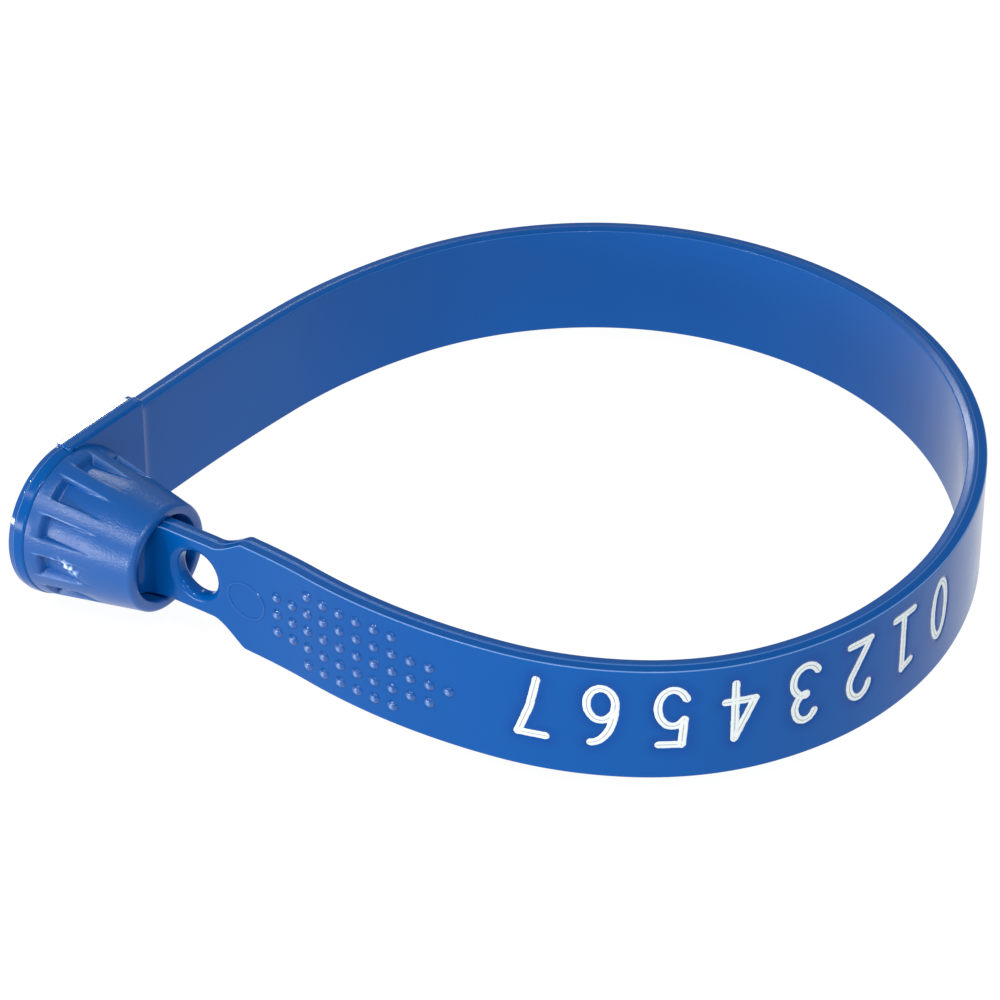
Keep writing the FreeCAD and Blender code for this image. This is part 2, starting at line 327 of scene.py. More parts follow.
def shifted(faces, shift):
    """The same faces for points that come after shift others."""
    return [tuple(index + shift for index in face) for face in faces]


def smooth(value):
    """An even rise from 0 to 1."""
    value = min(1, max(0, value))
    return value * value * (3 - 2 * value)


def spaced(start, end, step):
    """Even places from start to end, with one more close to each end so that pieces meet smoothly."""
    count = max(1, round((end - start) / step))
    places = [start + (end - start) * index / count for index in range(count + 1)]
    return [start, start + 0.02] + places[1:-1] + [end - 0.02, end]


# ------------------------------------------------------------------ strap section

def edge_profile():
    """The strap's long edge from its outer face to its inner face, as (outward, drop, mark) points.
    The two mould halves meet in a small step near the middle. The mark paints a highlight on the roundings and the
    step."""
    arc = [math.radians(angle) for angle in (0, 22.5, 45, 67.5, 90)]
    reach = HALF - CORNER
    foot = -EDGE_DROP - CORNER
    outer = [(reach + CORNER * math.cos(a), foot + CORNER * math.sin(a), math.sin(2 * a)) for a in arc]
    inner = [(-reach - CORNER * math.sin(a), foot + CORNER * math.cos(a), 0.4 * math.sin(2 * a)) for a in arc]
    middle = [(0.5, -EDGE_DROP + 0.01, 0), (0.16, -0.05, 0), (0.1, -0.045, 0.5), (0.05, 0, 0.5),
              (-0.04, 0, 0), (-0.3, -0.03, 0)]
    return outer + middle + inner


EDGE = edge_profile()


def face_rows(half_height, inner_rows):
    """Heights of the points across a flat face. Rows close to the edges keep the face's shading flat."""
    limit = half_height - EDGE_DROP - CORNER
    rows = [-limit, 0.12 - limit, 0.5 - limit]
    rows += [(limit - 0.5) * share for share in inner_rows]
    return rows + [limit - 0.5, limit - 0.12, limit]


def section(half_height, outer_rows, inner_rows, half_thickness=HALF):
    """One ring of the strap as (outward, up, mark), where mark is the strength of a painted highlight. It runs up
    the outer face, over the top edge and down the inner face. The lower edge is marked less."""
    scale = half_thickness / HALF
    ring = [(half_thickness, up, 0) for up in outer_rows[1:-1]]
    ring += [(out * scale, half_height + drop, mark) for out, drop, mark in EDGE]
    ring += [(-half_thickness, up, 0) for up in reversed(inner_rows[1:-1])]
    ring += [(out * scale, -half_height - drop, 0.3 * mark) for out, drop, mark in reversed(EDGE)]
    return ring


COARSE = (-0.75, -0.5, -0.25, 0, 0.25, 0.5, 0.75)


# ------------------------------------------------------------------ figures

def arc_points(x, y, radius_x, radius_y, start, end):
    count = max(8, round(abs(end - start) / 7))
    angles = [math.radians(start + (end - start) * index / count) for index in range(count + 1)]
    return [(x + radius_x * math.cos(a), y + radius_y * math.sin(a)) for a in angles]


# Pen strokes on a unit square, from a figure's bottom left corner.
FIGURES = {
    "0": [arc_points(0.5, 0.5, 0.5, 0.5, 90, 450)],
    "1": [[(0.6, 0), (0.6, 1)], [(0.6, 1), (0.08, 0.94)], [(0.02, 0), (1.12, 0)]],
    "2": [arc_points(0.5, 0.73, 0.47, 0.27, 165, -38) + [(0.02, 0)], [(0.02, 0), (1, 0)]],
    "3": [arc_points(0.45, 0.755, 0.43, 0.245, 150, -90), arc_points(0.45, 0.27, 0.53, 0.27, 90, -150)],
    "4": [[(0.72, 0), (0.72, 1)], [(0.72, 1), (0, 0.32)], [(0, 0.32), (1.06, 0.32)]],
    "5": [[(0.92, 1), (0.14, 1)], [(0.14, 1), (0.06, 0.56)], arc_points(0.46, 0.33, 0.52, 0.33, 140, -150)],
    "6": [arc_points(0.5, 0.29, 0.5, 0.29, 180, 540), arc_points(0.86, 0.3, 0.86, 0.7, 180, 92)],
    "7": [[(0, 1), (1, 1)], [(1, 1), (0.58, 0.5), (0.34, 0)]],
}


def figure_strokes(character, centre):
    """The pen strokes as (along, up) points. Figures stand upside down on the band."""
    strokes = []
    for stroke in FIGURES[character]:
        strokes.append([Vector((centre + (x - 0.5) * FIGURE_WIDTH, (0.5 - y) * FIGURE_HEIGHT + FIGURE_RAISE))
                        for x, y in stroke])
    return strokes


FIGURE_PLACES = [(character, HINGE_AT[-1] - FIGURE_PITCH * (index + 0.5))
                 for index, character in enumerate(reversed(NUMBER))]
ALL_STROKES = [stroke for character, centre in FIGURE_PLACES for stroke in figure_strokes(character, centre)]


def stroke_distance(along, up, strokes):
    point = Vector((along, up))
    best = math.inf
    for stroke in strokes:
        for here, there in zip(stroke, stroke[1:]):
            run = there - here
            share = min(1, max(0, (point - here).dot(run) / run.length_squared))
            best = min(best, (point - here - run * share).length)
    return best


def walk(stroke, step):
    """Evenly spaced points and directions along a pen stroke."""
    places = []
    for here, there in zip(stroke, stroke[1:]):
        count = max(1, round((there - here).length / step))
        places += [here.lerp(there, index / count) for index in range(count)]
    places.append(stroke[-1])
    closed = (places[0] - places[-1]).length < 1e-6
    ways = []
    for index, place in enumerate(places):
        before = places[index - 1] if index else (places[-2] if closed else place)
        after = places[index + 1] if index + 1 < len(places) else (places[1] if closed else place)
        ways.append((after - before).normalized())
    return places, ways, closed


# Half a stroke's cross-section from its edge inwards: share of the half width, height and groove mark, the
# strength of the painted shade along the groove.
FOIL_SIDE = ((1, -0.22, 0), (1, -0.1, 0), (0.93, -0.055, 0), (0.75, -0.035, 0), (0.2, -0.03, 0),
             (0.1, -0.04, 0.6))
FOIL = tuple((-across, height, groove) for across, height, groove in FOIL_SIDE)
FOIL += ((0, -0.075, 1),) + FOIL_SIDE[::-1]


def foil_ring(place, way, width):
    """One cross-section of a white stroke: a flat ribbon with a fine groove down its middle."""
    side = Vector((-way.y, way.x))
    ring = []
    for across, height, groove in FOIL:
        spot = place + side * (across * STROKE_HALF * width)
        fray = STROKE_FRAY * noise.noise(Vector((spot.x * 4, spot.y * 4, across * 3)))
        spot += side * (fray * across)
        ring.append((spot.x, HALF + height, spot.y))
    return ring


def foil_stroke(stroke):
    """A stroke's rings and whether it closes on itself. An open stroke gets round ends."""
    places, ways, closed = walk(stroke, 0.12)
    rings = [foil_ring(place, way, 1) for place, way in zip(places, ways)]
    if closed:
        return rings[:-1], True
    turns = [math.radians(angle) for angle in (20, 40, 58, 74, 84)]
    head, tail = [], []
    for a in turns:
        reach = STROKE_HALF * math.sin(a)
        head.append(foil_ring(places[0] - ways[0] * reach, ways[0], math.cos(a)))
        tail.append(foil_ring(places[-1] + ways[-1] * reach, ways[-1], math.cos(a)))
    return head[::-1] + rings + tail, False


def make_figure(name, character, centre, material):
    points, faces, grooves = [], [], []
    for stroke in figure_strokes(character, centre):
        rings, closed = foil_stroke(stroke)
        faces += shifted(torus_skin(rings) if closed else skin(rings), len(points))
        points += flatten(rings)
        grooves += [groove for across, height, groove in FOIL] * len(rings)
    points = [bend(point) for point in points]
    return add_piece(name, points, faces, material, {"groove": grooves})


# ------------------------------------------------------------------ strap pieces

def stamp(along, up):
    """How deep the outer face is pressed in beside the figures, and how much painted shade it gets there."""
    near = [stroke for stroke in ALL_STROKES if abs(stroke[0].x - along) < FIGURE_PITCH]
    distance = stroke_distance(along, up, near)
    depth = RECESS_DEPTH * (1 - smooth((distance - STROKE_HALF + RECESS_OVERLAP) / RECESS_SIDE))
    return depth, 1 - smooth((distance - STROKE_HALF) / RECESS_SHADE_WIDTH)


def make_strap_piece(number, material):
    """The strap round one hinge, from the middle of one span to the middle of the next."""
    ends = [-ROOT_OVERLAP]
    ends += [(here + there) / 2 for here, there in zip(HINGE_AT, HINGE_AT[1:])]
    ends.append(HINGE_AT[-1] + GRIP_START)
    first, last = ends[number - 1:number + 1]
    numbers_start = FIGURE_PLACES[-1][1] - FIGURE_PITCH / 2
    stamped = last > numbers_start
    step = FINE_STEP if stamped else STEP
    coarse_rows = face_rows(HALF_WIDTH, COARSE)
    dense_rows = face_rows(HALF_WIDTH, [index / 30 - 1 for index in range(1, 60)])
    outer_rows = dense_rows if stamped else coarse_rows
    rings, edges, recess_shades = [], [], []
    for along in spaced(first, last, step):
        ring = []
        for out, up, mark in section(HALF_WIDTH, outer_rows, coarse_rows):
            recess_shade = 0
            if stamped and out == HALF and numbers_start - 1 < along < HINGE_AT[-1] + 1:
                depth, recess_shade = stamp(along, up)
                out -= depth
            if number == 1 and out < 0:
                out -= ramp_height(along)
            ring.append((along, out, up))
            edges.append(mark)
            recess_shades.append(recess_shade)
        rings.append(ring)
    points = [bend(point) for point in flatten(rings)]
    return add_piece("strap_piece_%02d" % number, points, skin(rings), material,
                     {"edge": edges, "recess_shade": recess_shades})


def ramp_height(along):
    """A hollow fillet that climbs three quarters of the way up the plate's end wall."""
    rise = 0.75 * (PLATE_FRONT - ROOT_OFFSET - HALF)
    return rise * (1 - min(1, max(0, along / RAMP_LENGTH))) ** 3


def tail_half_height(from_eyelet):
    """The tail widens from neck to grip over its shoulders, along a bowed slope."""
    bow = 0.45
    share = min(1, max(0, (from_eyelet - SHOULDER_FOOT) / SHOULDER_LENGTH))
    rise = HALF_WIDTH - NECK_HALF_HEIGHT
    return NECK_HALF_HEIGHT + rise * share * (bow + share - bow * share * share)


def tail_half_thickness(from_eyelet):
    """The neck thickens in a fillet where it meets the plug's collar."""
    reach, rise = 1.0, 0.7
    share = min(1, max(0, (EYELET_X - NECK_START - reach + from_eyelet) / -reach))
    return HALF + rise * (1 - math.sqrt(max(0, 1 - share * share)))


def neck_lift(along):
    """The neck is lifted from the shoulders on, and comes down again before the collar."""
    past = along - EYELET_AT
    return NECK_LIFT * smooth((past + 5.2) / 4.2) * (1 - smooth((past - 2.8) / 1.8))


# The rim's rounding, as distance outside the hole and depth below the face.
EYELET_RIM = ((0.62, 0), (0.5, 0.015), (0.38, 0.06), (0.26, 0.12), (0.12, 0.22), (0.03, 0.36), (0, 0.52))


def tail_rings(places):
    """Rings across the tail as (along, outward, up) points, and the edge mark of each point."""
    rings, marks = [], []
    for along in places:
        half_height = tail_half_height(EYELET_AT - along)
        rows = face_rows(half_height, COARSE)
        ring = section(half_height, rows, rows, tail_half_thickness(EYELET_AT - along))
        rings.append([(along, out, up) for out, up, mark in ring])
        marks += [mark for out, up, mark in ring]
    return rings, marks


def window_border(rows, first, last, count):
    """The points round a window in one face, from ring first to ring last and from row to row."""
    border = [index * count + rows[0] for index in range(first, last)]
    border += [last * count + row for row in rows[:-1]]
    border += [index * count + rows[-1] for index in range(last, first, -1)]
    return border + [first * count + row for row in reversed(rows[1:])]


def eyelet_patch(points, faces, border, side):
    """Fill one face of the neck between a border of its points and the eyelet's rounded rim."""
    ways = [Vector((points[index][0] - EYELET_AT, points[index][2])) for index in border]
    rim_loops = []
    for wider, deep in EYELET_RIM:
        rim_loops.append(([way.normalized() * (EYELET_RADIUS + wider) for way in ways], deep))
    widest = rim_loops[0][0]
    loops = [([way.lerp(spot, share) for way, spot in zip(ways, widest)], 0) for share in (0.34, 0.67)]
    loops += rim_loops
    previous = border
    for spots, deep in loops:
        current = range(len(points), len(points) + len(spots))
        points += [(EYELET_AT + spot.x, side * (HALF - deep), spot.y) for spot in spots]
        faces += join_loops(previous, current)
        previous = current
    return previous


def add_ring_mark(points, faces):
    """A faint raised ring on the grip's outer face, left by the mould's ejector and rough on one side."""
    centre, drop = EYELET_AT - 4.85, 0.12
    reach, rise = 1.76, 1.45
    line, height = 0.12, 0.08
    rings = []
    for index in range(72):
        a = 2 * math.pi * index / 72
        rough = 0.02 * math.sin(17 * a) if 3.4 < a < 4.6 else 0
        wobble = 1 + 0.012 * math.sin(5 * a) + rough
        ring = []
        for around in range(8):
            b = 2 * math.pi * around / 8
            swell = wobble + line * math.cos(b) / reach
            along = centre - math.cos(a) * reach * swell
            ring.append((along, HALF + height * math.sin(b), math.sin(a) * rise * swell - drop))
        rings.append(ring)
    faces += shifted(torus_skin(rings), len(points))
    points += flatten(rings)


def make_tail(material):
    """The grip, its shoulders and the neck with its eyelet, in one piece."""
    patch_reach = 3.0
    patch_low, patch_high = EYELET_AT - patch_reach, EYELET_AT + patch_reach
    neck_end = EYELET_AT + EYELET_X - NECK_START
    before = spaced(HINGE_AT[-1] + GRIP_START, patch_low, 0.3)
    across = [patch_low + (patch_high - patch_low) * index / 18 for index in range(1, 18)]
    after = [patch_high + (neck_end - patch_high) * index / 14 for index in range(15)]
    rings, marks = tail_rings(before + across + after)
    points = flatten(rings)

    # A window is left open in both faces round the eyelet, and each is filled up to the hole's rim.
    count = len(rings[0])
    row_count = len(face_rows(HALF_WIDTH, COARSE)) - 2
    outer = list(range(row_count))
    inner = list(range(row_count + len(EDGE), 2 * row_count + len(EDGE)))
    first, last = len(before) - 1, len(before) + len(across)
    open_rows = set(outer[:-1]) | set(inner[:-1])
    faces = [face for face in skin(rings)
             if len(face) != 4 or not first <= face[0] // count < last or face[0] % count not in open_rows]
    outer_rim, inner_rim = [eyelet_patch(points, faces, window_border(rows, first, last, count), side)
                            for rows, side in ((outer, 1), (inner[::-1], -1))]
    faces += join_loops(outer_rim, inner_rim)
    marks += [0] * (len(points) - len(marks))

    add_ring_mark(points, faces)
    # The ring is painted faintly paler, a faint painted highlight.
    marks += [0.25] * (len(points) - len(marks))
    lifted = [bend((along, out, up + neck_lift(along))) for along, out, up in points]
    return add_piece("grip_and_neck", lifted, faces, material, {"edge": marks})


def make_dots(material):
    """Rows of domes with paler tips, a painted highlight, each a closed button set into the grip's outer face."""
    ball = (DOT_RADIUS ** 2 + DOT_HEIGHT ** 2) / (2 * DOT_HEIGHT)
    profile = [(DOT_RADIUS, -0.12)]
    for radius in (DOT_RADIUS * (1 - index / 10) for index in range(10)):
        profile.append((radius, math.sqrt(ball ** 2 - radius ** 2) - ball + DOT_HEIGHT))
    turns = [2 * math.pi * step / DOT_SIDES for step in range(DOT_SIDES)]
    points, faces, tip_highlight = [], [], []
    for column, count in enumerate(DOT_COLUMNS):
        along = EYELET_AT - FIRST_DOT_COLUMN - column * DOT_PITCH_ALONG
        for row in range(count):
            up = (row - (count - 1) / 2) * DOT_PITCH_ACROSS
            rings = []
            for radius, height in profile:
                rings.append([(along + radius * math.cos(a), HALF + height, up + radius * math.sin(a))
                              for a in turns])
                # The paler tips are a painted highlight.
                tip_highlight += [0.9 * (1 - smooth(radius / (0.7 * DOT_RADIUS)))] * DOT_SIDES
            faces += shifted(skin(rings), len(points))
            points += flatten(rings)
    points = [bend(point) for point in points]
    return add_piece("grip_dots_moulded", points, faces, material, {"edge": tip_highlight})


# ------------------------------------------------------------------ head

def plate_loop(inset, count=120):
    """The plate's outline about the socket's axis as (y, z). A round flange steps up to a square plate."""
    radius, top, end = FLANGE_RADIUS - inset, PLATE_HALF_HEIGHT - inset, PLATE_LENGTH - inset
    corner, step = PLATE_CORNER, 0.06
    round_end = [(radius * math.cos(a), radius * math.sin(a))
                 for a in (math.radians(90 + 180 * index / count) for index in range(count + 1))]
    run = [step + (end - corner - step) * index / 24 for index in range(24)]
    bottom = [(step / 2, -(radius + top) / 2)] + [(y, -top) for y in run]
    turn = [math.radians(-90 + 90 * index / 6) for index in range(7)]
    bottom += [(end - corner + corner * math.cos(a), corner - top + corner * math.sin(a)) for a in turn]
    side = [(end, corner - top + 2 * (top - corner) * index / 30) for index in range(1, 30)]
    return round_end + bottom + side + [(y, -z) for y, z in reversed(bottom)]


def inset_loop(loop, distance):
    """The outline moved inwards by distance."""
    moved = []
    for index, (y, z) in enumerate(loop):
        before, after = loop[index - 1], loop[(index + 1) % len(loop)]
        way = Vector((after[0] - before[0], after[1] - before[1])).normalized()
        moved.append((y - way.y * distance, z + way.x * distance))
    return moved


def circle_loop(loop, radius):
    return [tuple(Vector(point).normalized() * radius) for point in loop]


def slab_rings(loop, back, front, back_rounding, front_rounding, draft=0.0):
    """Rings from inside the back face, round the rim and on to the front face, which the draft makes
    smaller. A pair of rings close to the roundings keeps the rim flat."""
    turn = [math.radians(angle) for angle in (90, 67.5, 45, 22.5, 0)]
    rings = [(back, inset_loop(loop, 2.5 * back_rounding))]
    for a in turn:
        x = back + back_rounding * (1 - math.sin(a))
        rings.append((x, inset_loop(loop, back_rounding * (1 - math.cos(a)) + draft * (x - back))))
    for x in (back + back_rounding + 0.02, front - front_rounding - 0.02):
        rings.append((x, inset_loop(loop, draft * (x - back))))
    for a in reversed(turn):
        x = front - front_rounding * (1 - math.sin(a))
        rings.append((x, inset_loop(loop, front_rounding * (1 - math.cos(a)) + draft * (x - back))))
    rings.append((front, inset_loop(loop, front_rounding + draft * (front - back) + 0.08)))
    return rings


def socket_rings(rings):
    return [[in_socket(x, y, z) for y, z in loop] for x, loop in rings]


def make_flange(material):
    """The plate with the chamber's hole through it. It is painted paler along the seam with the cap, a painted
    highlight on the rounding there.
    """
    rounding = 0.12
    loop = plate_loop(0)
    hole = circle_loop(loop, CHAMBER_RADIUS)
    rings = slab_rings(loop, CAP_THICKNESS, PLATE_FRONT, rounding, 2 * rounding, draft=0.12)
    rings += [(PLATE_FRONT, hole), (CAP_THICKNESS, hole)]
    placed = socket_rings(rings)
    seam = [1.0 if abs(x - CAP_THICKNESS) < rounding else 0 for x, ring in rings for point in ring]
    return add_piece("flange_plate_moulded", flatten(placed), torus_skin(placed), material,
                     {"edge": seam})


def make_cap(material):
    """A thin cover disc with the tube that presses into the chamber behind the ring."""
    rounding = 0.06
    loop = plate_loop(CAP_INSET)
    front = CAP_THICKNESS - CAP_GAP
    tube_end = CHAMBER_END - 0.5
    tube_outside = circle_loop(loop, CHAMBER_RADIUS - 0.05)
    tube_inside = circle_loop(loop, CHAMBER_RADIUS - 0.55)
    rings = [(0, [(y * 0.2, z * 0.2) for y, z in loop])]
    rings += slab_rings(loop, 0, front, rounding, rounding)
    rings += [(front, tube_outside), (tube_end, tube_outside)]
    rings += [(tube_end, tube_inside), (CAP_THICKNESS, tube_inside)]
    placed = socket_rings(rings)
    return add_piece("rear_cap_moulded", flatten(placed), skin(placed), material)


def cone_radius(x):
    share = (x - PLATE_FRONT) / (BELL_LENGTH - PLATE_FRONT)
    return BELL_BASE_RADIUS + (BELL_MOUTH_RADIUS - BELL_BASE_RADIUS) * share


def past_rib(angle):
    """Degrees past the side of the nearest rib, negative on the rib itself."""
    pitch = 360 / POCKET_COUNT
    from_middle = abs((angle - FIRST_RIB_ANGLE + pitch / 2) % pitch - pitch / 2)
    return from_middle - (pitch - POCKET_ANGLE) / 2


def glint_patch(x, angle):
    """A ragged patch on the bell, from 0 to 1, that raises a small bump and is painted near-white as a painted
    glint.
    """
    slant = 4 * (x - GLINT_X)
    away = math.hypot((x - GLINT_X) / GLINT_LENGTH, (angle - GLINT_ANGLE - slant) / GLINT_SPREAD)
    ragged_glint = noise.noise(Vector((x * 2.4, angle * 0.24, 3.0)))
    ragged_glint += 0.3 * noise.noise(Vector((x * 6, angle * 0.6, 8.0)))
    return (1 - smooth(away)) * smooth(0.5 + 2.2 * ragged_glint)


def rib_highlight(x, angle):
    """How strongly the painted highlight line along a rib's edge shows."""
    line = math.exp(-((past_rib(angle) + 0.9) / 1.1) ** 2)
    return line * smooth((x - POCKET_START + 0.6) / 0.4) * (1 - smooth((x - 5.0) / 2.5))


def bell_radius(x, angle):
    """The bell's outside: a cone with a pocket between each two ribs, which fades out up the cone."""
    in_pocket = smooth((past_rib(angle) + POCKET_SIDE / 2) / POCKET_SIDE)
    past_ledge = smooth((x - POCKET_START + POCKET_LEDGE / 2) / POCKET_LEDGE)
    cone = cone_radius(x)
    gap = cone - POCKET_FLOOR_RADIUS
    depth = (gap + math.sqrt(gap * gap + 0.01)) / 2 - 0.01
    return cone - max(0, depth) * in_pocket * past_ledge + GLINT_BUMP_HEIGHT * glint_patch(x, angle)


def make_bell(material):
    """The cone in rings about the socket's axis: its outside, the round lip, the bore and the chamber."""
    steps = 440
    angles = [360 * index / steps for index in range(steps)]
    ledge_start, ledge_end = POCKET_START - POCKET_LEDGE / 2, POCKET_START + POCKET_LEDGE / 2
    lip_start = BELL_LENGTH - BELL_LIP
    places = [PLATE_FRONT + 0.05 * index for index in range(4)]
    places += [ledge_start + 0.05 * index for index in range(9)]
    places += [ledge_end + (lip_start - ledge_end) * index / 60 for index in range(1, 61)]
    rings = [[(x, bell_radius(x, angle)) for angle in angles] for x in places]
    for a in (math.radians(90 * index / 7) for index in range(1, 8)):
        radius = cone_radius(lip_start) - BELL_LIP * (1 - math.cos(a))
        rings.append([(BELL_LENGTH - BELL_LIP * (1 - math.sin(a)), radius)] * steps)
    inside = ((BELL_LENGTH, MOUTH_RADIUS + 0.22), (BELL_LENGTH - 0.05, MOUTH_RADIUS + 0.08),
              (BELL_LENGTH - 0.18, MOUTH_RADIUS), (BELL_LENGTH - 0.5, MOUTH_RADIUS),
              (CHAMBER_END + 0.1, MOUTH_RADIUS), (CHAMBER_END, MOUTH_RADIUS),
              (CHAMBER_END, CHAMBER_RADIUS), (PLATE_FRONT, CHAMBER_RADIUS))
    rings += [[place] * steps for place in inside]
    # Painted highlight lines along the rib edges, and the near-white painted glint on the patch.
    marks = [0.62 * rib_highlight(x, angle) + 2.2 * glint_patch(x, angle) for x in places for angle in angles]
    marks += [0] * (steps * (len(rings) - len(places)))
    ways = [(-math.sin(math.radians(angle)), math.cos(math.radians(angle))) for angle in angles]
    placed = [[in_socket(x, radius * y, radius * z) for (x, radius), (y, z) in zip(ring, ways)]
              for ring in rings]
    return add_piece("socket_bell_moulded", flatten(placed), torus_skin(placed), material,
                     {"edge": marks})


def make_plug(material):
    """The arrow head, stem and collar that lock inside the socket, turned with soft corners."""
    head = [(1.3, 0.45), (1.36, 0.8), (1.6, 1.1), (3.4, 2.68), (3.62, 2.82), (3.82, 2.85), (3.9, 2.78),
            (3.9, 2.6), (3.9, 1.75)]
    stem = [(3.98, 1.58), (4.2, 1.5), (6.3, 1.5), (6.75, 1.6), (7.1, 1.85), (7.45, 2.4)]
    collar = [(7.6, 3.0), (7.68, 3.14), (7.82, 3.2), (8.6, 3.2), (8.74, 3.15), (8.8, 3.02), (8.8, 2.6),
              (8.8, 1.2)]
    count = 96
    turns = [2 * math.pi * index / count for index in range(count)]
    rings = [[in_socket(x, radius * math.cos(a), radius * math.sin(a)) for a in turns]
             for x, radius in head + stem + collar]
    return add_piece("lock_plug_moulded", flatten(rings), skin(rings), material)


# ------------------------------------------------------------------ materials

class Nodes:
    """A small helper that adds and links shader nodes."""

    def __init__(self, name):
        self.material = bpy.data.materials.new(name)
        self.material.use_nodes = True
        self.tree = self.material.node_tree
        self.shader = self.tree.nodes["Principled BSDF"]
        place = self.tree.nodes.new("ShaderNodeTexCoord")
        self.place = place.outputs["Object"]

    def noise(self, size, detail=2.0, stretch=None):
        """Noise whose blotches are about this many millimetres across."""
        texture = self.tree.nodes.new("ShaderNodeTexNoise")
        texture.inputs["Scale"].default_value = 1 / (size * MM)
        texture.inputs["Detail"].default_value = detail
        source = self.place
        if stretch:
            mapping = self.tree.nodes.new("ShaderNodeMapping")
            mapping.inputs["Scale"].default_value = stretch
            self.link(source, mapping.inputs["Vector"])
            source = mapping.outputs["Vector"]
        self.link(source, texture.inputs["Vector"])
        return texture.outputs["Fac"]

    def link(self, output, socket):
        self.tree.links.new(output, socket)

    def span(self, source, low, high, from_low=0.2, from_high=0.8):
        """Spread a value over a new range. Most noise lies between 0.2 and 0.8."""
        node = self.tree.nodes.new("ShaderNodeMapRange")
        node.inputs["From Min"].default_value = from_low
        node.inputs["From Max"].default_value = from_high
        node.inputs["To Min"].default_value = low
        node.inputs["To Max"].default_value = high
        self.link(source, node.inputs["Value"])
        return node.outputs["Result"]

    def attribute(self, name):
        node = self.tree.nodes.new("ShaderNodeAttribute")
        node.attribute_name = name
        return node.outputs["Fac"]

    def mix(self, share, first, second):
        """Blend two colours, each a colour or another node's output."""
        node = self.tree.nodes.new("ShaderNodeMix")
        node.data_type = "RGBA"
        self.link(share, node.inputs["Factor"])
        for name, value in (("A", first), ("B", second)):
            socket = next(s for s in node.inputs if s.name == name and s.type == "RGBA")
            if isinstance(value, tuple):
                socket.default_value = (*value, 1)
            else:
                self.link(value, socket)
        return next(s for s in node.outputs if s.type == "RGBA")

    def bump(self, source, depth, normal=None):
        node = self.tree.nodes.new("ShaderNodeBump")
        node.inputs["Strength"].default_value = 1
        node.inputs["Distance"].default_value = depth * MM
        self.link(source, node.inputs["Height"])
        if normal:
            self.link(normal, node.inputs["Normal"])
        return node.outputs["Normal"]


def blue_plastic(name, roughness, grain_size, grain_depth, index, gloss):
    """Semi-gloss moulded plastic. Its colour drifts slowly, has painted shade beside the number and painted
    highlights along edges and other marked places, and is painted near-white where a glint is marked."""
    nodes = Nodes(name)
    drift = nodes.span(nodes.noise(14), 0, 1)
    colour = nodes.mix(drift, BLUE, BLUE_DRIFT)
    # Painted shade beside the figures.
    recess_shade = nodes.span(nodes.attribute("recess_shade"), 0, 0.45, 0, 1)
    colour = nodes.mix(recess_shade, colour, BLUE_RECESS_SHADE)
    # Painted highlights where the edge attribute is marked.
    edge = nodes.span(nodes.attribute("edge"), 0, 0.65, 0.2, 1)
    colour = nodes.mix(edge, colour, BLUE_HIGHLIGHT)
    # A near-white painted glint where the mark passes 1.
    ragged_glint = nodes.span(nodes.attribute("edge"), 0, 1, 1, 2)
    colour = nodes.mix(ragged_glint, colour, BLUE_GLINT)
    nodes.link(colour, nodes.shader.inputs["Base Color"])
    nodes.link(nodes.span(nodes.noise(2.2, 1), *roughness), nodes.shader.inputs["Roughness"])
    flow = nodes.bump(nodes.noise(7, 0), 0.006)
    grain = nodes.bump(nodes.noise(grain_size, 2), grain_depth, flow)
    nodes.link(grain, nodes.shader.inputs["Normal"])
    nodes.shader.inputs["IOR"].default_value = index
    nodes.shader.inputs["Specular IOR Level"].default_value = gloss
    return nodes.material


def white_foil():
    """Stamped foil: slightly mottled, with a grey line of painted shade along each stroke's groove."""
    nodes = Nodes("number_white_foil")
    mottle = nodes.span(nodes.noise(0.25, 3), 0, 1)
    colour = nodes.mix(mottle, FOIL_MOTTLE, FOIL_WHITE)
    # Painted shade along the groove.
    groove = nodes.span(nodes.attribute("groove"), 0, 0.8, 0.1, 1)
    colour = nodes.mix(groove, colour, FOIL_GROOVE_SHADE)
    nodes.link(colour, nodes.shader.inputs["Base Color"])
    nodes.link(nodes.span(nodes.noise(0.6), 0.5, 0.7), nodes.shader.inputs["Roughness"])
    nodes.link(nodes.bump(nodes.noise(0.12, 2), 0.006), nodes.shader.inputs["Normal"])
    return nodes.material


def spring_steel():
    """Bright steel with fine streaks from rolling."""
    nodes = Nodes("ring_spring_steel")
    streak = nodes.noise(0.4, 3, (1, 1, 12))
    colour = nodes.mix(nodes.span(streak, 0, 1), STEEL_DARK, STEEL_LIGHT)
    nodes.link(colour, nodes.shader.inputs["Base Color"])
    nodes.link(nodes.span(streak, 0.22, 0.38), nodes.shader.inputs["Roughness"])
    nodes.link(nodes.bump(streak, 0.004), nodes.shader.inputs["Normal"])
    nodes.shader.inputs["Metallic"].default_value = 1
    return nodes.material


# ------------------------------------------------------------------ the object

def blend_round_hinge(piece, number):
    """Bake a piece's place into its mesh. The piece is not bent about the hinge."""
    heading = centre_at(HINGE_AT[number - 1])[1]
    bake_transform(piece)


def build_strap(plastic, foil):
    """One strap piece for each hinge, and the figures, each shaped round the loop and matched to the hinge nearest
    to it.
    """
    for number in range(1, len(HINGES) + 1):
        piece = make_strap_piece(number, plastic)
        blend_round_hinge(piece, number)
        if number == 1:
            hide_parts("strap_root", "strap_span_01")
        elif number < len(HINGES):
            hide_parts("strap_span_%02d" % number)
    for index, (character, centre) in enumerate(FIGURE_PLACES):
        figure = "figure_%d" % (len(NUMBER) - index)
        piece = make_figure(figure + "_foil", character, centre, foil)
        number = 1 + min(range(len(HINGES)), key=lambda hinge: abs(HINGE_AT[hinge] - centre))
        blend_round_hinge(piece, number)
        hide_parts(figure)


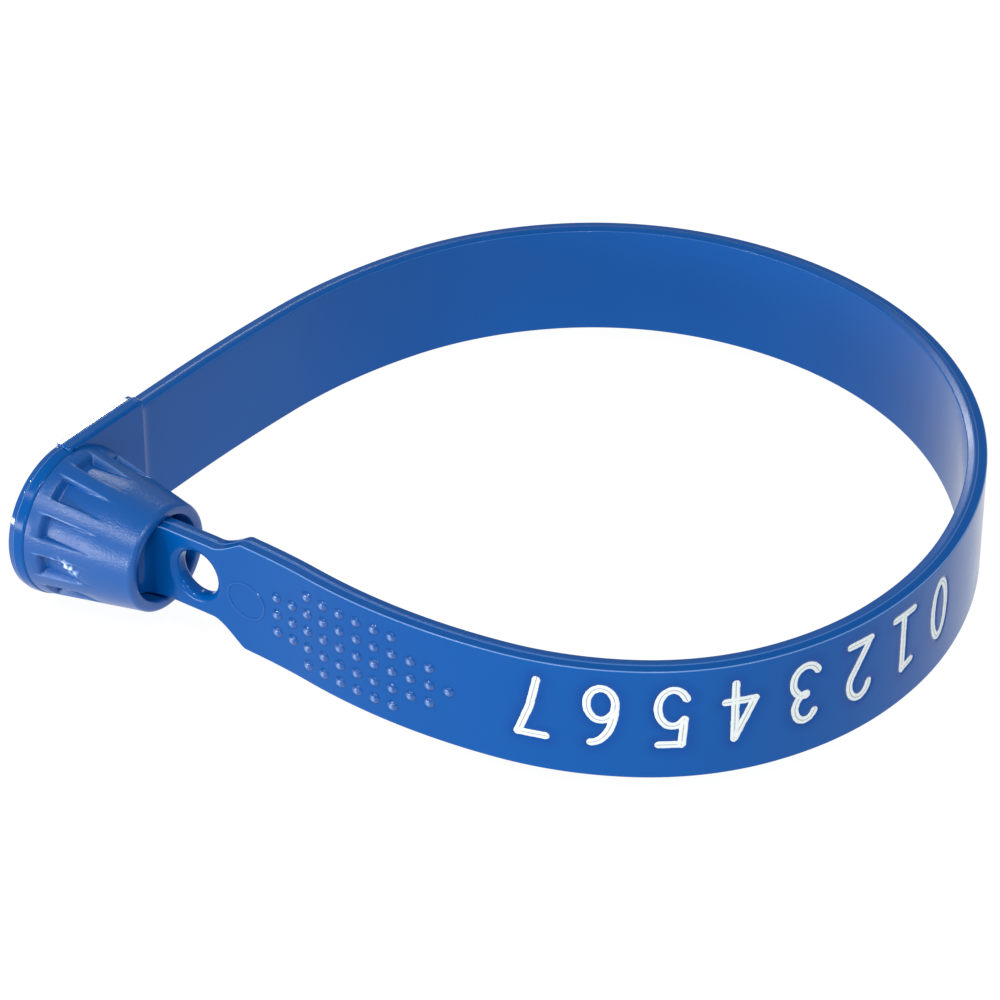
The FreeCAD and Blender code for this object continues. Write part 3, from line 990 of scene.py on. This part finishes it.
def build_ends(plastic, grained, glossy):
    """The pieces that ride on the head or the tail without bending."""
    for piece, body, nodes in (
            (make_tail(plastic), "tail", ("grip_tab", "neck_eyelet")),
            (make_dots(glossy), "tail", ("grip_dots",)),
            (make_plug(plastic), "tail", ("lock_plug",)),
            (make_flange(plastic), "head", ("flange_plate",)),
            (make_cap(glossy), "head", ("rear_cap",)),
            (make_bell(grained), "head", ("socket_bell",))):
        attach(piece, body)
        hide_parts(*nodes)


def build_steel(steel):
    """The ring and its fingers keep their CAD shape and get a steel look."""
    for name in ("lock_ring", "lock_fingers"):
        mesh = frame["nodes"][name].data
        mesh.materials.clear()
        mesh.materials.append(steel)


# ------------------------------------------------------------------ floor, light and camera

def make_floor():
    size = FLOOR_HALF_SIZE
    low = cad_low.z - FLOOR_GAP
    mesh = bpy.data.meshes.new("floor")
    mesh.from_pydata([(-size, -size, low), (size, -size, low), (size, size, low), (-size, size, low)], [],
                     [(0, 1, 2, 3)])
    floor = bpy.data.objects.new("floor", mesh)
    bpy.context.scene.collection.objects.link(floor)
    nodes = Nodes("floor_white")
    nodes.shader.inputs["Base Color"].default_value = (0.1, 0.1, 0.1, 1)
    nodes.shader.inputs["Roughness"].default_value = 0.9
    nodes.shader.inputs["Specular IOR Level"].default_value = 0.0
    nodes.shader.inputs["Emission Color"].default_value = (1, 1, 1, 1)
    nodes.shader.inputs["Emission Strength"].default_value = 0.95
    mesh.materials.append(nodes.material)


def add_light(name, azimuth, elevation, distance, width, height, power):
    """A soft box aimed at the loop. Azimuth 0 is the camera's side and 90 is +X."""
    a, e = math.radians(azimuth), math.radians(elevation)
    way = Vector((math.sin(a) * math.cos(e), -math.cos(a) * math.cos(e), math.sin(e)))
    lamp = bpy.data.lights.new(name, "AREA")
    lamp.shape = "RECTANGLE"
    lamp.size = width
    lamp.size_y = height
    lamp.energy = power
    box = bpy.data.objects.new(name, lamp)
    box.location = way * distance
    box.rotation_mode = "QUATERNION"
    box.rotation_quaternion = way.to_track_quat("Z", "Y")
    bpy.context.scene.collection.objects.link(box)


def make_lights():
    world = bpy.data.worlds.new("studio")
    world.use_nodes = True
    background = world.node_tree.nodes["Background"]
    background.inputs["Color"].default_value = (1, 1, 1, 1)
    background.inputs["Strength"].default_value = 0.35
    bpy.context.scene.world = world
    for light in LIGHTS:
        add_light(*light)


def make_camera():
    lens = bpy.data.cameras.new("camera")
    lens.lens = CAMERA_LENS
    lens.clip_start = 0.01
    lens.clip_end = 20
    camera = bpy.data.objects.new("camera", lens)
    e = math.radians(CAMERA_ELEVATION)
    camera.location = (0, -CAMERA_DISTANCE * math.cos(e), CAMERA_DISTANCE * math.sin(e) - HALF_WIDTH * MM)
    camera.rotation_euler = (math.pi / 2 - e, 0, 0)
    bpy.context.scene.collection.objects.link(camera)
    bpy.context.scene.camera = camera
    bpy.context.scene.view_settings.view_transform = "Standard"


make_camera()
make_floor()
make_lights()
band_plastic = blue_plastic("band_blue_plastic", roughness=(0.15, 0.2), grain_size=0.3, grain_depth=0.001,
                            index=1.2, gloss=0.8)
bell_plastic = blue_plastic("bell_blue_grained", roughness=(0.28, 0.36), grain_size=0.16, grain_depth=0.02,
                            index=1.38, gloss=0.8)
glossy_plastic = blue_plastic("blue_gloss", roughness=(0.06, 0.1), grain_size=0.3, grain_depth=0.001,
                              index=1.5, gloss=0.7)
build_strap(band_plastic, white_foil())
build_ends(band_plastic, bell_plastic, glossy_plastic)
build_steel(spring_steel())
